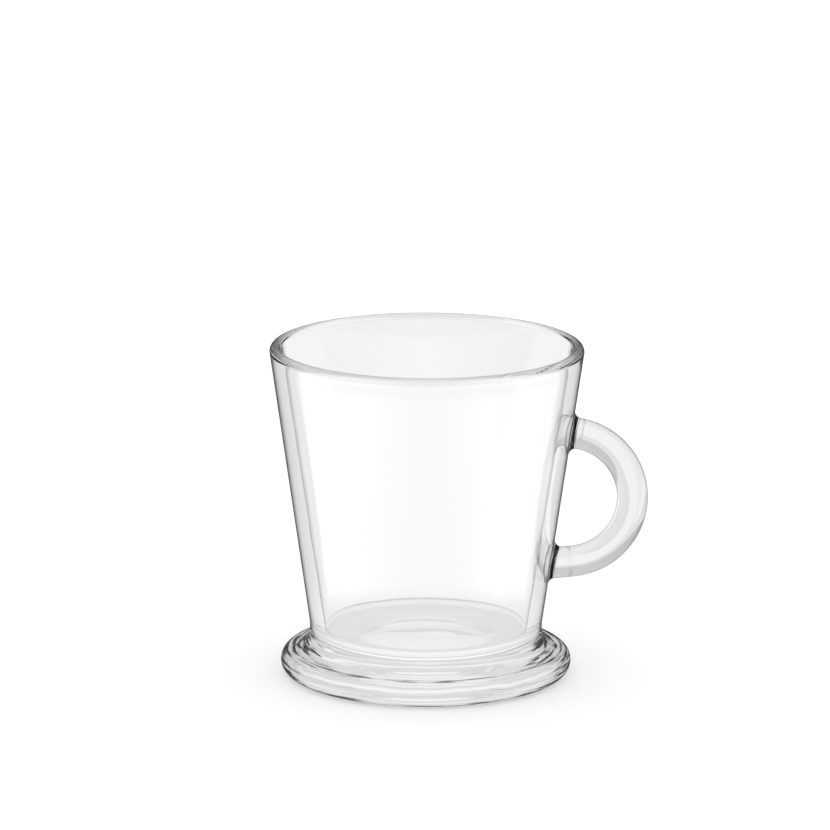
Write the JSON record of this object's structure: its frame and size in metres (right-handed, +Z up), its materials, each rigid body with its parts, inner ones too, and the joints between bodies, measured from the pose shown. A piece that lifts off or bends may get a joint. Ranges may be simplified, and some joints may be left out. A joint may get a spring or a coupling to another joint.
{
  "type": "cappuccino glass",
  "caption": "Clear glass cappuccino cup with a flared conical bowl, a round lip, a heavy round foot and a round loop handle at its side.",
  "frame": {"origin": "on the bowl's axis, in the plane of the standing ring under the foot", "axes": "+Z up along the bowl's axis, +X towards the handle, +Y to the left of someone who faces along +X"},
  "size_m": [0.1038, 0.086, 0.092],
  "materials": {
    "clear_glass": "clear, fire-polished, smooth"
  },
  "bodies": {
    "root": {"bowl": "clear_glass", "foot": "clear_glass", "handle": "clear_glass", "upper_handle_pad": "clear_glass", "lower_handle_pad": "clear_glass"}
  },
  "joints": []
}
